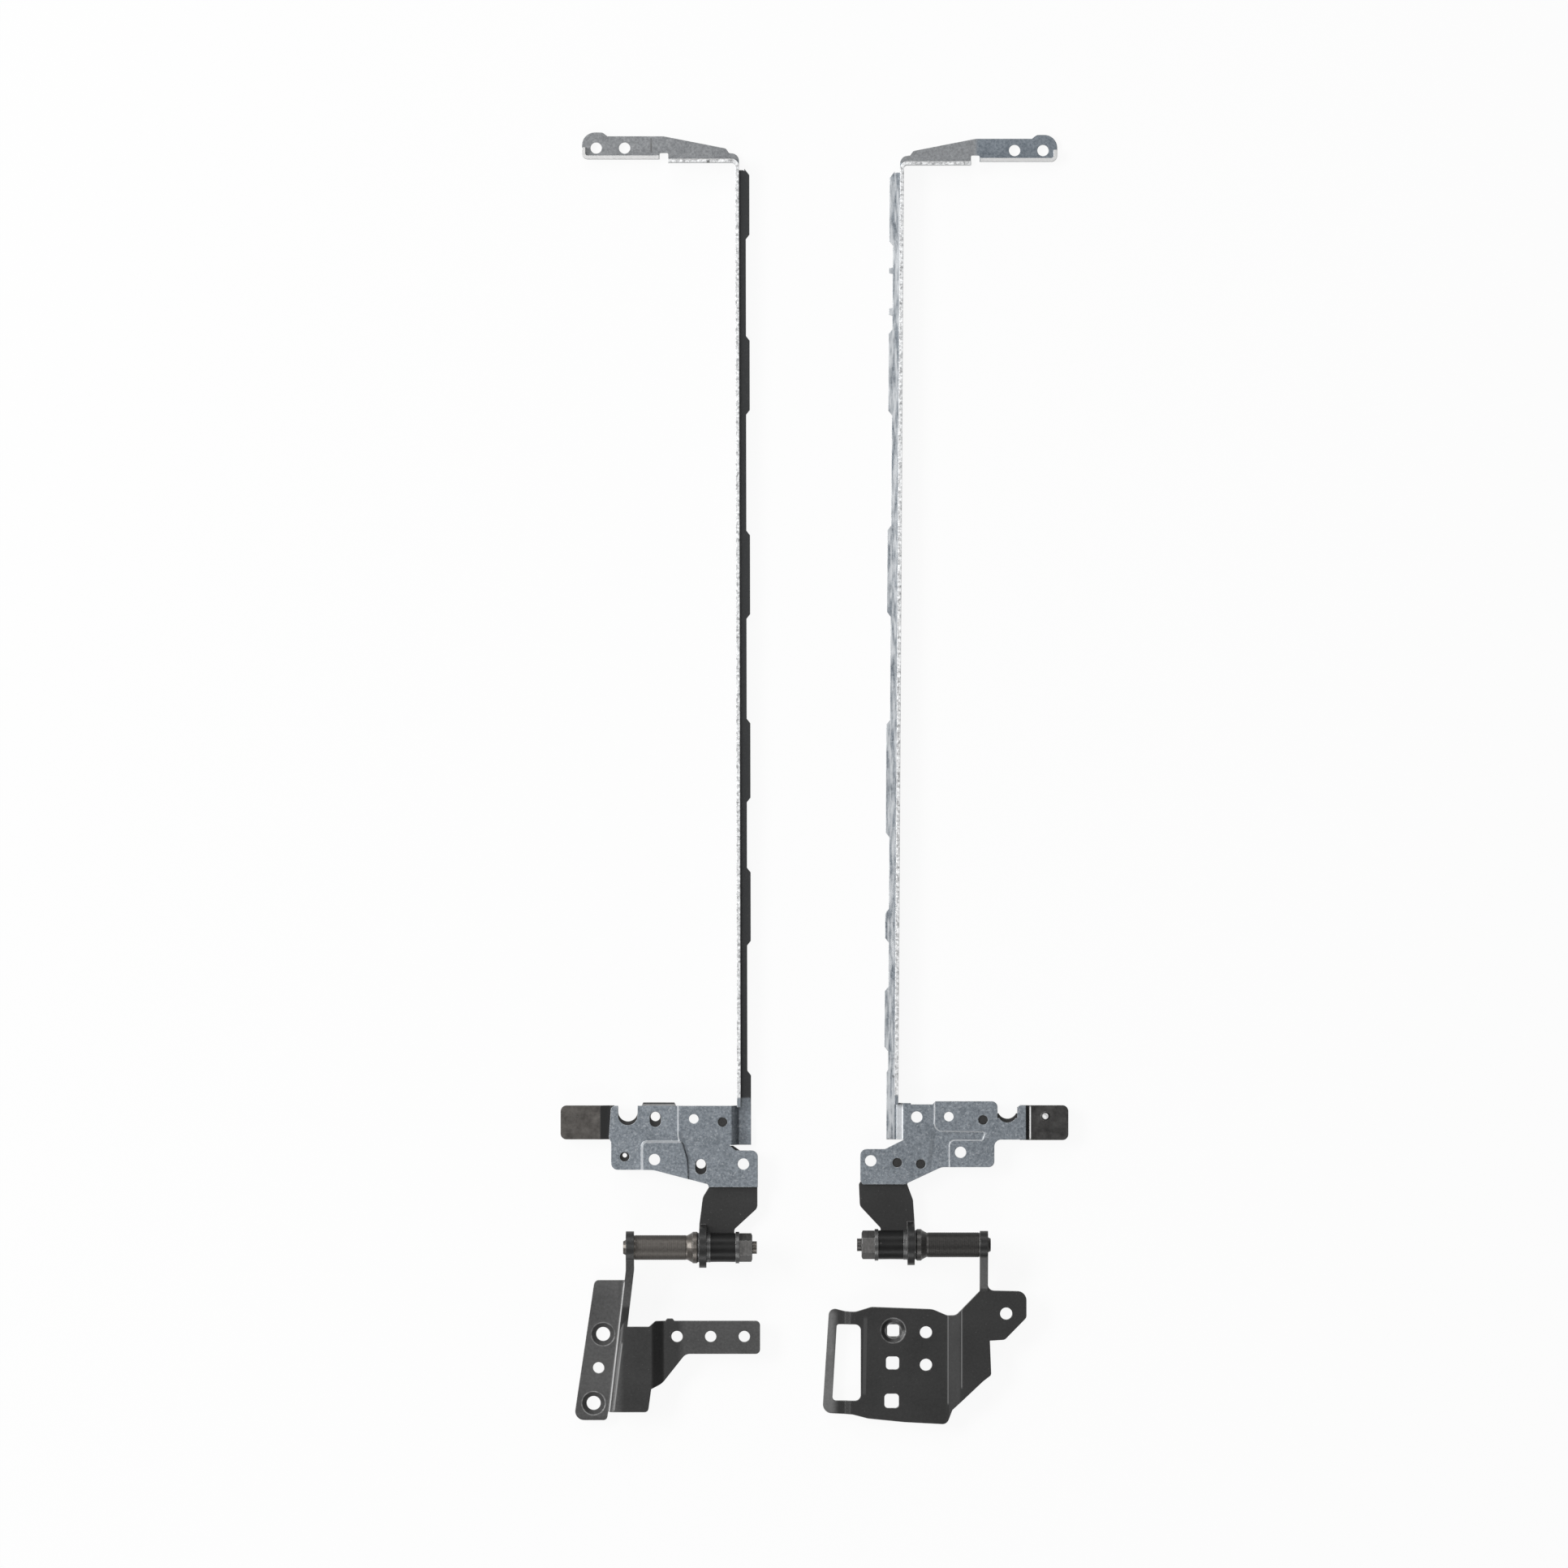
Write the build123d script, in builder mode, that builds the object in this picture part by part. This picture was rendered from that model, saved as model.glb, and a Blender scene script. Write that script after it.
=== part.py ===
"""A pair of friction hinges for a laptop lid, lying open and flat, as spares are sold.

Millimetres. X runs along both hinge pins, Y up the display rails and Z up from the bench.
Each hinge is laid out from two lines of its own: u is measured from the inboard face of its
display rail, inboard being positive, and v from its pin, up the lid being positive.
"""

import math
import os
from dataclasses import dataclass

from build123d import *

# Sheets and their heights above the bench
RAIL_T = 0.8
LEAF_T = 1.6
BASE_T = 1.8
LEAF_Z = 0.4
PLATE_Z = LEAF_Z + LEAF_T
STEP = 0.4
WALL_H = 3.6
LIP_H = 1.7
PIN_Z = 5.4
CORNER = 0.3

# Display rail and its top arm
RAIL_TOP = 240.3
RAIL_BEND = 0.8
FLANGE_W = 2.3
TAB_W = 3.1
TAB_END = 1.4
ARM_REACH = 34.0
ARM_W = 5.9
ARM_LIP = 0.8
ARM_NOTCH = (14.9, 16.8)
ARM_NOTCH_TOP = 2.2
ARM_SHOULDER = 2.1
LOBE_R = 3.15
LOBE_TOP = 6.75
LOBE_CORNER = 1.3
ARM_HOLE_PITCH = 6.3
ARM_HOLE_V = 3.3
ARM_HOLE_R = 1.25
LEFT_TABS = [(231.0, 16.0), (193.2, 18.2), (149.0, 20.3), (107.8, 19.3), (75.4, 18.0)]
RIGHT_TABS = [(229.4, 16.8), (215.8, 1.6), (206.7, 2.0), (193.3, 19.8), (149.2, 21.0)]
RIGHT_TABS += [(103.2, 26.8), (70.6, 8.3), (49.9, 15.1)]
FOOT_TAB_TOP = 39.4

# Stepped plate at the foot of the rail
PLATE_TOP = 31.3
RAIL_FOOT = PLATE_TOP - CORNER
PLATE_FOOT = 13.3
PLATE_LOW = 17.1
FOOT_LOW = 23.2
PAD_DRAFT = 30
WEB_TOP = 0.9
WEB_FOOT = -0.3
PLATE_HOLE_R = 1.25
PILOT_R = 1.05
NOTCH_U = 24.2
NOTCH_R = 2.15
NOTCH_DEPTH = 4.3
LEAF_NOTCH_DEPTH = 3.5
NOTCH_MOUTH = 2.0
STAKE_R = 1.0
STAKE_GAP = 0.05
STAKE_SUNK = 0.2
SIGHT_R = 1.25
SIGHT_LENGTH = 3.4

# Lid leaf
LEAF_EDGE = 0.3
LEAF_HOLE_GAP = 0.4
TAB_RISE = RAIL_T
LEFT_TAB = (23.85, 31.35)
RIGHT_TAB = (23.1, 30.8)
TAB_REACH = 39.1
TAB_END_R = 1.3
NECK_FOOT = 2.6
EAR_ROOT = 5.0
LEAF_PEEP = 0.7
SIGHT_SHIFT = 0.6
PIP_H = 0.3
EAR_R = 4.5

# Friction pin, from the outer face of the base ear towards the nut
HEAD_R = 1.7
HEAD_T = 0.6
EAR_PIN_R = 1.3
BARREL_R = 2.7
BARREL_LENGTH = 11.8
TAPER_LENGTH = 1.0
COLLAR_R = 3.5
COLLAR_T = 1.35
COLLAR_EDGE = 0.25
STEM_R = 1.8
FLAT_HALF = 1.45
THREAD_R = 1.4
THREAD_OUT = 1.0
THRUST_T = 0.25
KEY_T = 0.35
FRICTION_T = 0.5
DISC_COUNT = 4
DISC_T = 1.0
DISC_RISE = 0.395
DISC_R = 3.15
DISC_GAP = 0.02
WASHER_R = 3.3
END_WASHER_T = 0.8
END_WASHER_R = 3.5
NUT_T = 2.9
NUT_FLATS = 5.5
NUT_CHAMFER = 0.25
FIT = 0.03
BEARING_GAP = 0.05

# Base brackets
LUG_SHOULDER = (-0.53, 0.68)
WALL_SLANT = 6.8
WALL_KINK = -5.0
LUG_END = -16.2
FIXING_TOP = -7.4
FIXING_LOW = -38.4
RAISED_Z = 3.0
RAISED_TOP = -17.6
RAISED_LOW = -36.5
ARM_DROP = 1.4
SCREW_ARM_TOP = -16.35
SCREW_ARM_LOW = -23.65
SCREW_ARM_END = -5.1
SCREW_ARM_V = -19.8
SCREW_ARM_U = 5.85
SCREW_PITCH = 7.45
SCREW_R = 1.25
CSK_R = 2.55
CSK_HOLE_R = 1.55
LEFT_CSK = [(29.7, -19.35), (31.8, -34.65)]
LEFT_FIXING_HOLE = (30.7, -26.8)
BASE_LOW = -39.4
MAIN_RISE = 1.0
PLATEAU_RISE = 1.2
WINDOW_LEFT = -13.7
WINDOW_RIGHT = -8.3
WINDOW_TOP = -17.75
WINDOW_LOW = -34.7
RIGHT_ROUND_HOLES = [(6.15, -19.5), (6.15, -26.7), (23.9, -15.3)]
COIN_R = 2.8
COIN_DEPTH = 0.5
RIGHT_SQUARE_HOLES = [((-1.1, -19.1), 2.7), ((-1.25, -26.3), 2.9), ((-1.45, -34.7), 3.2)]


@dataclass
class Hinge:
    """Where one hinge lies, which way is inboard, and the sizes in which the two differ."""

    name: str
    inboard: int
    rail_x: float
    pin_y: float
    ear_u: float
    lean: float
    rail_top: float
    base_ear_r: float
    foot_w: float


LEFT = Hinge("left", -1, -17.15, -103.85, 24.6, 0.4, RAIL_TOP, base_ear_r=3.6, foot_w=TAB_W)
RIGHT = Hinge("right", 1, 18.55, -103.25, 19.85, 1.25, RAIL_TOP - 1.15, base_ear_r=3.1, foot_w=TAB_W - 0.5)

# Stations along the pin, from the outer face of the base ear
BARREL_S = BASE_T
TAPER_S = BARREL_S + BARREL_LENGTH
COLLAR_S = TAPER_S + TAPER_LENGTH
THRUST_S = COLLAR_S + COLLAR_T
LID_EAR_S = THRUST_S + THRUST_T + FIT
KEY_S = LID_EAR_S + LEAF_T
FRICTION_S = KEY_S + KEY_T + FIT
SPRING_S = FRICTION_S + FRICTION_T
END_WASHER_S = SPRING_S + DISC_COUNT * (DISC_T + DISC_RISE)
NUT_S = END_WASHER_S + END_WASHER_T
THREAD_END_S = NUT_S + NUT_T + THREAD_OUT


def spot(hinge, u, v):
    """The place on the bench of a point u inboard of the rail and v above the pin."""
    lean = hinge.lean * max(v - RAIL_FOOT, 0) / (hinge.rail_top - RAIL_FOOT)
    return (hinge.rail_x + hinge.inboard * (u + lean), hinge.pin_y + v)


def face(corners, mode=Mode.ADD):
    """A face with straight sides and rounded corners, each corner as (x, y, radius)."""
    with BuildLine() as edge:
        FilletPolyline(*[(x, y) for x, y, _ in corners], radius=[r for *_, r in corners], close=True)
    make_face(edge.edges(), mode=mode)


def outline(hinge, corners, mode=Mode.ADD):
    """A face seen from above, each corner as (u, v, radius)."""
    face([(*spot(hinge, u, v), r) for u, v, r in corners], mode)


def across(hinge, v):
    """The plane of a cross-section at v: x runs inboard from the rail, y up from the bench."""
    return Plane((*spot(hinge, 0, v), 0), x_dir=(hinge.inboard, 0, 0), z_dir=(0, -hinge.inboard, 0))


def beside(hinge, u):
    """The plane of a side view at u: x runs up the lid from the pin, y up from the bench."""
    return Plane((*spot(hinge, u, 0), 0), x_dir=(0, 1, 0), z_dir=(1, 0, 0))


def up_the_lid(hinge, length):
    """The extrude amount that takes a cross-section this far up the lid."""
    return -hinge.inboard * length


def pin_axis(hinge):
    return Axis((*spot(hinge, hinge.ear_u, 0), PIN_Z), (-hinge.inboard, 0, 0))


def pin_plane(hinge):
    """The plane of a turned profile: x is the station along the pin, y the radius."""
    start = (*spot(hinge, hinge.ear_u, 0), PIN_Z)
    return Plane(start, x_dir=(-hinge.inboard, 0, 0), z_dir=(0, hinge.inboard, 0))


def drill(hinge, places, radius):
    """Round holes right through, each place as (u, v)."""
    for u, v in places:
        with Locations((*spot(hinge, u, v), WALL_H + PIN_Z)):
            Hole(radius)


def slot_through(hinge, u, v, radius, length):
    """A slot along the lid, right through the sheet."""
    with BuildSketch(Plane.XY) as shape:
        with Locations(spot(hinge, u, v)):
            SlotOverall(length, 2 * radius, rotation=90)
    extrude(shape.sketch, amount=WALL_H + PIN_Z, mode=Mode.SUBTRACT)


def raise_pad(hinge, corners, rise):
    """Presses a pad up out of a flat sheet at the plate's height, with sloped sides."""
    draft = math.radians(PAD_DRAFT)
    inset = RAIL_T * (1 - math.sin(draft)) / math.cos(draft)
    with BuildSketch(Plane.XY.offset(PLATE_Z + RAIL_T)) as shape:
        outline(hinge, corners)
    extrude(shape.sketch, amount=rise, taper=PAD_DRAFT)
    with BuildSketch(Plane.XY.offset(PLATE_Z)) as shape:
        outline(hinge, [(u, v, 0) for u, v, _ in corners])
        offset(amount=-inset, kind=Kind.INTERSECTION)
    extrude(shape.sketch, amount=rise, taper=PAD_DRAFT, mode=Mode.SUBTRACT)


def add_rail(hinge, tabs):
    """The L-section rail and the top arm, whose wall turns the corner between them."""
    top = hinge.rail_top
    arm_top = top + ARM_W
    tip_u = ARM_REACH - LOBE_R
    notch_in, notch_out = ARM_NOTCH
    with BuildSketch(Plane.XY) as shape:
        outline(hinge, [
            (-FLANGE_W, RAIL_FOOT, 0),
            (-FLANGE_W, top - RAIL_BEND - RAIL_T, RAIL_T),
            (0, top - RAIL_BEND - RAIL_T, 0),
            (0, RAIL_FOOT, 0),
        ])
        for middle, length in tabs:
            outline(hinge, [
                (-FLANGE_W + CORNER, middle - length / 2, 0),
                (-TAB_W, middle - length / 2 + TAB_END * min(1, length / 8), 0),
                (-TAB_W, middle + length / 2 - TAB_END * min(1, length / 8), 0),
                (-FLANGE_W + CORNER, middle + length / 2, 0),
            ])
        outline(hinge, [
            (-RAIL_T, RAIL_FOOT, 0),
            (-RAIL_T, top + 2 * RAIL_T + CORNER, 2 * RAIL_T),
            (ARM_SHOULDER - 0.7, top + 2 * RAIL_T + 2 * CORNER, 0),
            (ARM_SHOULDER, top + 4 * RAIL_T, RAIL_T),
            (notch_in + 1, arm_top, 4),
            (tip_u - 1, arm_top, 0),
            (tip_u - 1, top + ARM_LIP, 0),
            (notch_out, top + ARM_LIP, 0),
            (notch_out, top + ARM_NOTCH_TOP, CORNER),
            (notch_in, top + ARM_NOTCH_TOP, CORNER),
            (notch_in, top, 0),
            (0, top, RAIL_BEND),
            (0, RAIL_FOOT, 0),
        ])
        outline(hinge, [
            (tip_u - 2.5, arm_top, 0.6),
            (tip_u - 1.4, top + LOBE_TOP, 1.2),
            (ARM_REACH, top + LOBE_TOP, LOBE_R - 0.3),
            (ARM_REACH, top + ARM_LIP, LOBE_CORNER),
            (tip_u - 2.5, top + ARM_LIP, 0),
        ])
    extrude(shape.sketch, amount=RAIL_T)
    with BuildSketch(Plane.XY) as shape:
        outline(hinge, [
            (-RAIL_T, RAIL_FOOT, 0),
            (-RAIL_T, top + RAIL_T, RAIL_BEND + RAIL_T),
            (notch_in, top + RAIL_T, 0),
            (notch_in, top, 0),
            (0, top, RAIL_BEND),
            (0, RAIL_FOOT, 0),
        ])
    extrude(shape.sketch, amount=WALL_H)
    with BuildSketch(Plane.XY) as shape:
        outline(hinge, [
            (notch_out, top + ARM_LIP, 0),
            (notch_out, top + ARM_LIP + RAIL_T, 0),
            (ARM_REACH - RAIL_T, top + ARM_LIP + RAIL_T, LOBE_CORNER - RAIL_T),
            (ARM_REACH - RAIL_T, top + ARM_LIP + 2 * LOBE_CORNER, 0),
            (ARM_REACH, top + ARM_LIP + 2 * LOBE_CORNER, 0),
            (ARM_REACH, top + ARM_LIP, LOBE_CORNER),
        ])
    extrude(shape.sketch, amount=LIP_H)
    drill(hinge, [(tip_u, top + ARM_HOLE_V), (tip_u - ARM_HOLE_PITCH, top + ARM_HOLE_V)], ARM_HOLE_R)


def add_web(hinge, plate_z, foot_v):
    """The sloped web and low flange that join the rail to its plate."""
    run = WEB_TOP - WEB_FOOT
    rise = plate_z
    thick = RAIL_T * math.hypot(run, rise) / rise
    with BuildSketch(across(hinge, foot_v)) as shape:
        face([
            (-hinge.foot_w, 0, 0),
            (WEB_FOOT + thick - run * RAIL_T / rise, 0, 0),
            (WEB_TOP + thick - run * RAIL_T / rise, plate_z, 0),
            (WEB_TOP + 2 * RAIL_T + CORNER, plate_z, 0),
            (WEB_TOP + 2 * RAIL_T + CORNER, plate_z + RAIL_T, 0),
            (WEB_TOP, plate_z + RAIL_T, RAIL_T),
            (WEB_FOOT, RAIL_T, CORNER),
            (-hinge.foot_w, RAIL_T, 0),
        ])
    extrude(shape.sketch, amount=up_the_lid(hinge, PLATE_TOP - foot_v))
    with BuildSketch(Plane.XY) as shape:
        outline(hinge, [
            (-hinge.foot_w, RAIL_FOOT, 0),
            (-hinge.foot_w, FOOT_TAB_TOP - TAB_END, 0),
            (-FLANGE_W + CORNER, FOOT_TAB_TOP, 0),
            (-FLANGE_W + CORNER, RAIL_FOOT, 0),
        ])
    extrude(shape.sketch, amount=RAIL_T)


def notch_plate(hinge, depth):
    """The round-bottomed notch in the top edge of the plate, or of the leaf behind it."""
    with BuildSketch(Plane.XY) as shape:
        outline(hinge, [
            (NOTCH_U - NOTCH_R, PLATE_TOP - depth + NOTCH_R, 0),
            (NOTCH_U - NOTCH_R, PLATE_TOP + NOTCH_MOUTH, 0),
            (NOTCH_U + NOTCH_R, PLATE_TOP + NOTCH_MOUTH, 0),
            (NOTCH_U + NOTCH_R, PLATE_TOP - depth + NOTCH_R, 0),
        ])
        with Locations(spot(hinge, NOTCH_U, PLATE_TOP - depth + NOTCH_R)):
            Circle(NOTCH_R)
    extrude(shape.sketch, amount=WALL_H + PIN_Z, mode=Mode.SUBTRACT)


def left_rail():
    """The left hinge's rail: its plate has one low corner and one pad pressed up twice as far."""
    low = PLATE_LOW
    with BuildPart() as rail:
        with BuildSketch(Plane.XY.offset(PLATE_Z)):
            outline(LEFT, LEFT_PLATE)
        extrude(amount=RAIL_T)
        raise_pad(LEFT, [
            (13.2, PLATE_TOP + 5, 0),
            (13.2, 24.6, 1),
            (12.6, 21.5, 0),
            (12.6, 5, 0),
            (-9, 5, 0),
            (-9, PLATE_TOP + 5, 0),
        ], STEP)
        raise_pad(LEFT, [
            (10.0, 5, 0),
            (10.6, 19.3, 2),
            (11.8, 23.6, 1.0),
            (21.3, 23.6, 1.3),
            (21.3, 5, 0),
        ], 2 * STEP)
        with BuildSketch(Plane.XY.offset(PLATE_Z)):
            outline(LEFT, LEFT_PLATE)
        extrude(amount=RAIL_T + 2 * STEP, mode=Mode.INTERSECT)
        notch_plate(LEFT, NOTCH_DEPTH)
        add_web(LEFT, PLATE_Z + STEP, FOOT_LOW - 0.6)
        add_rail(LEFT, LEFT_TABS)
        drill(LEFT, [LEFT_CORNER_HOLE, LEFT_PAD_HOLE], PLATE_HOLE_R)
        drill(LEFT, [LEFT_PILOT], PILOT_R)
        drill(LEFT, [LEFT_STAKE, LEFT_SIDE_HOLE], STAKE_R + STAKE_GAP)
        for u, v in (LEFT_SIGHT, LEFT_NECK_SIGHT):
            slot_through(LEFT, u, v, SIGHT_R, SIGHT_LENGTH)
    return rail.part


LEFT_PLATE = [
    (WEB_TOP + RAIL_T, PLATE_TOP, 0),
    (27.9, PLATE_TOP, 1.0),
    (28.4, 24.2, 0.5),
    (27.9, FOOT_LOW, 0.5),
    (27.9, PLATE_LOW, 1.5),
    (18.6, PLATE_LOW, 6),
    (6.4, PLATE_FOOT + 0.6, 0.6),
    (6.3, PLATE_FOOT, 0),
    (-4.6, PLATE_FOOT, 0),
    (-4.6, 21.4, 1.4),
    (0.3, 21.4, 0),
    (WEB_TOP + RAIL_T, FOOT_LOW - 0.6, 0),
]
LEFT_PILOT = (9.6, 28.4)
LEFT_PAD_HOLE = (18.3, 19.4)
LEFT_CORNER_HOLE = (-1.4, 18.4)
LEFT_SIGHT = (18.1, 28.3)
LEFT_NECK_SIGHT = (8.0, 17.8)
LEFT_STAKE = (3.2, 27.7)
LEFT_SIDE_HOLE = (24.9, 20.0)

RIGHT_PLATE = [
    (WEB_TOP + RAIL_T, PLATE_TOP - 0.3, 0),
    (7.6, PLATE_TOP - 0.3, 0),
    (8.3, PLATE_TOP + 0.4, 0),
    (22.0, PLATE_TOP + 0.4, 1.3),
    (22.0, 28, 0),
    (26.4, 28, 0),
    (26.4, PLATE_TOP - 0.5, 0.8),
    (28.3, PLATE_TOP - 0.5, 0),
    (28.3, FOOT_LOW, 0),
    (21.3, FOOT_LOW, 1.5),
    (21.3, PLATE_LOW, 1.3),
    (9.6, PLATE_LOW, 3),
    (1.9, PLATE_FOOT + 0.2, 0.8),
    (1.7, PLATE_FOOT, 0),
    (-7.9, PLATE_FOOT, 0),
    (-8.4, PLATE_FOOT + 0.9, 0),
    (-8.4, 21.1, 1.4),
    (-2.9, 21.1, 1.0),
    (WEB_TOP + RAIL_T, 23.4, 0.4),
]
RIGHT_PILOT = (11.2, 28.3)
RIGHT_PAD_HOLE = (13.8, 20.4)
RIGHT_RAIL_HOLE = (4.1, 28.2)
RIGHT_CORNER_HOLE = (-6.1, 18.5)
RIGHT_STAKES = [(-0.2, 18.1), (5.0, 17.8), (18.8, 27.6)]


def right_rail():
    """The right hinge's rail: its plate has one raised field with a low tongue let into it."""
    with BuildPart() as rail:
        with BuildSketch(Plane.XY.offset(PLATE_Z)):
            outline(RIGHT, RIGHT_PLATE)
        extrude(amount=RAIL_T)
        raise_pad(RIGHT, [
            (7.9, PLATE_TOP + 5, 0),
            (7.9, 25.0, 1.8),
            (19.2, 24.8, 0.4),
            (18.6, 23.2, 0.4),
            (11.2, 23.2, 1.3),
            (11.2, 5, 0),
            (35, 5, 0),
            (35, PLATE_TOP + 5, 0),
        ], STEP)
        with BuildSketch(Plane.XY.offset(PLATE_Z)):
            outline(RIGHT, RIGHT_PLATE)
        extrude(amount=RAIL_T + STEP, mode=Mode.INTERSECT)
        notch_plate(RIGHT, NOTCH_DEPTH)
        add_web(RIGHT, PLATE_Z, FOOT_LOW)
        add_rail(RIGHT, RIGHT_TABS)
        drill(RIGHT, [RIGHT_RAIL_HOLE, RIGHT_PAD_HOLE, RIGHT_CORNER_HOLE], PLATE_HOLE_R)
        drill(RIGHT, [RIGHT_PILOT], PILOT_R)
        drill(RIGHT, RIGHT_STAKES, STAKE_R + STAKE_GAP)
    return rail.part


def lid_leaf(hinge, corners, tab_root, tab_slope, tab_end, tab_width):
    """The black leaf behind the plate: flat, with a joggled tab, a neck and the turning ear."""
    tab_z = LEAF_Z + TAB_RISE
    ear_out = hinge.ear_u - LID_EAR_S - LEAF_T
    with BuildSketch(Plane.XY.offset(LEAF_Z)) as flat:
        outline(hinge, corners)
    extrude(flat.sketch, amount=LEAF_T)
    tab_low, tab_top = tab_width
    with BuildSketch(across(hinge, tab_low)) as bent:
        face([
            (tab_root - 1, LEAF_Z, 0),
            (tab_root, LEAF_Z, CORNER),
            (tab_root + tab_slope, tab_z, CORNER),
            (tab_end, tab_z, 0),
            (tab_end, tab_z + LEAF_T, 0),
            (tab_root + tab_slope, tab_z + LEAF_T, CORNER),
            (tab_root, LEAF_Z + LEAF_T, CORNER),
            (tab_root - 1, LEAF_Z + LEAF_T, 0),
        ])
    tab = extrude(bent.sketch, amount=up_the_lid(hinge, tab_top - tab_low))
    fillet(tab.edges().filter_by(Axis.Z).sort_by(Axis.X)[:: hinge.inboard][-2:], TAB_END_R)
    with BuildSketch(beside(hinge, ear_out)) as lug:
        with Locations((0, PIN_Z)):
            Circle(EAR_R)
        with BuildLine() as foot:
            Line((NECK_FOOT, LEAF_Z), (EAR_ROOT, LEAF_Z))
            Line((EAR_ROOT, LEAF_Z), (EAR_ROOT, LEAF_Z + LEAF_T))
        make_hull([*lug.sketch_local.edges(), *foot.edges()])
        with Locations((0, PIN_Z)):
            Circle(STEM_R + BEARING_GAP, mode=Mode.SUBTRACT)
    extrude(lug.sketch, amount=hinge.inboard * LEAF_T)


def add_stakes(hinge, places, top):
    """The posts pressed up out of the leaf that hold the plate."""
    for u, v in places:
        with BuildSketch(Plane.XY.offset(PLATE_Z)) as post:
            with Locations(spot(hinge, u, v)):
                Circle(STAKE_R)
        extrude(post.sketch, amount=top - STAKE_SUNK - PLATE_Z)


def left_leaf():
    ear_in = LEFT.ear_u - LID_EAR_S
    edge = LEAF_EDGE
    with BuildPart() as leaf:
        lid_leaf(LEFT, [
            (-4.5, 21.4 - edge, 1.2),
            (-1.0, 21.4 - edge, 0),
            (WEB_TOP, FOOT_LOW - 0.8, 0),
            (WEB_TOP + RAIL_T, FOOT_LOW - 0.8, 0),
            (WEB_TOP + RAIL_T, PLATE_TOP - edge, 0),
            (13.4, PLATE_TOP - edge, 0),
            (13.9, PLATE_TOP + LEAF_PEEP, 0),
            (20.8, PLATE_TOP + LEAF_PEEP, 0),
            (21.3, PLATE_TOP - edge, 0),
            (27.6, PLATE_TOP - edge, 0),
            (27.6, PLATE_LOW + edge, 1.3),
            (18.6, PLATE_LOW + edge, 6),
            (6.5, PLATE_FOOT + 0.6 + edge, 0),
            (6.2, PLATE_FOOT, 0),
            (7.6, PLATE_FOOT - 2.3, 2),
            (ear_in, EAR_ROOT, 2),
            (ear_in, NECK_FOOT, 0),
            (0.6, NECK_FOOT, 0),
            (0.6, 3.9, 0.8),
            (-4.5, PLATE_FOOT - 4.7, 1.5),
            (-4.5, PLATE_FOOT, 0),
        ], 28.2, 2.0, TAB_REACH, LEFT_TAB)
        add_stakes(LEFT, [LEFT_STAKE], PLATE_Z + STEP + RAIL_T)
        notch_plate(LEFT, LEAF_NOTCH_DEPTH)
        drill(LEFT, [LEFT_CORNER_HOLE, LEFT_PAD_HOLE, LEFT_PILOT], PLATE_HOLE_R + LEAF_HOLE_GAP)
        drill(LEFT, [(LEFT_SIGHT[0], LEFT_SIGHT[1] + SIGHT_SHIFT)], PILOT_R)
        drill(LEFT, [(LEFT_NECK_SIGHT[0], LEFT_NECK_SIGHT[1] + SIGHT_SHIFT)], PILOT_R)
        drill(LEFT, [(LEFT_SIDE_HOLE[0], LEFT_SIDE_HOLE[1] + edge)], STAKE_R / 2)
    return leaf.part


def right_leaf():
    ear_in = RIGHT.ear_u - LID_EAR_S
    edge = LEAF_EDGE
    with BuildPart() as leaf:
        lid_leaf(RIGHT, [
            (-8.4 + edge, 21.1 - edge, 1.2),
            (-2.9, 21.1 - edge, 1.0),
            (WEB_TOP + RAIL_T, 23.4 - edge, 0),
            (WEB_TOP + RAIL_T, PLATE_TOP - 2 * edge, 0),
            (8.0, PLATE_TOP - 2 * edge, 0),
            (8.6, PLATE_TOP, 0),
            (22.0, PLATE_TOP, 1.0),
            (22.0, 29, 0),
            (26.4, 29, 0),
            (26.4, PLATE_TOP - 3 * edge, 0),
            (28.0, PLATE_TOP - 3 * edge, 0),
            (28.0, FOOT_LOW + edge, 0),
            (21.0, FOOT_LOW + edge, 1.5),
            (21.0, PLATE_LOW + edge, 1.2),
            (9.6, PLATE_LOW + edge, 3),
            (2.2, PLATE_FOOT + 0.5, 0),
            (2.0, PLATE_FOOT, 0),
            (3.3, PLATE_FOOT - 3.5, 2),
            (ear_in, EAR_ROOT, 1),
            (ear_in, NECK_FOOT, 0),
            (-3.9, NECK_FOOT, 0),
            (-3.9, 3.6, 0.8),
            (-8.5, PLATE_FOOT - 4.8, 1.5),
            (-8.7, PLATE_FOOT, 0),
            (-8.1, PLATE_FOOT + 0.9, 0),
        ], 28.0, 1.1, TAB_REACH - 1.4, RIGHT_TAB)
        add_stakes(RIGHT, RIGHT_STAKES[:2], PLATE_Z + RAIL_T)
        add_stakes(RIGHT, RIGHT_STAKES[2:], PLATE_Z + STEP + RAIL_T)
        notch_plate(RIGHT, LEAF_NOTCH_DEPTH)
        holes = [RIGHT_CORNER_HOLE, RIGHT_PAD_HOLE, RIGHT_PILOT, RIGHT_RAIL_HOLE]
        drill(RIGHT, holes, PLATE_HOLE_R + LEAF_HOLE_GAP)
        with BuildSketch(Plane.XY.offset(LEAF_Z + TAB_RISE + LEAF_T)):
            with Locations(spot(RIGHT, 32.6, 28.4)):
                Circle(STAKE_R)
        extrude(amount=PIP_H, taper=45)
    return leaf.part


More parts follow.
